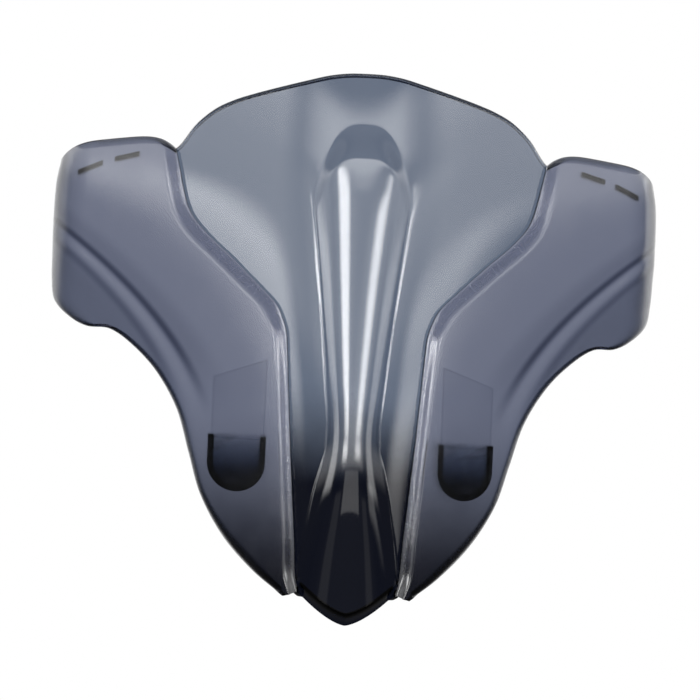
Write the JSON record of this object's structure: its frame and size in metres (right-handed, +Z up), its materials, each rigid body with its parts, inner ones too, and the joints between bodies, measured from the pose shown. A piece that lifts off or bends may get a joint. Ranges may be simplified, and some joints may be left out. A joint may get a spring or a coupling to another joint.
{
  "type": "windshield screen",
  "caption": "Smoked motorcycle screen with a glossy waisted centre panel, satin side wings lapped over its margins, ears, U receivers and ear tabs behind.",
  "frame": {"origin": "centre of the bounding box's lowest plane, under the lower tip", "axes": "+X across the screen to its right as seen from the front, +Y towards the rider, +Z up along the screen"},
  "size_m": [0.4504, 0.1828, 0.3925],
  "materials": {
    "smoke_gloss": "polished smoke-tinted polycarbonate",
    "smoke_satin": "fine satin texture on smoke-tinted polycarbonate",
    "bond": "dark bonding strip",
    "receiver": "dark moulded plastic"
  },
  "bodies": {
    "root": {"centre_screen": "smoke_gloss", "right_wing": "smoke_satin", "left_wing": "smoke_satin", "right_bond_strip": "bond", "left_bond_strip": "bond", "right_socket": "receiver", "left_socket": "receiver", "right_inner_tab": "receiver", "right_outer_tab": "receiver", "left_inner_tab": "receiver", "left_outer_tab": "receiver"}
  },
  "joints": []
}
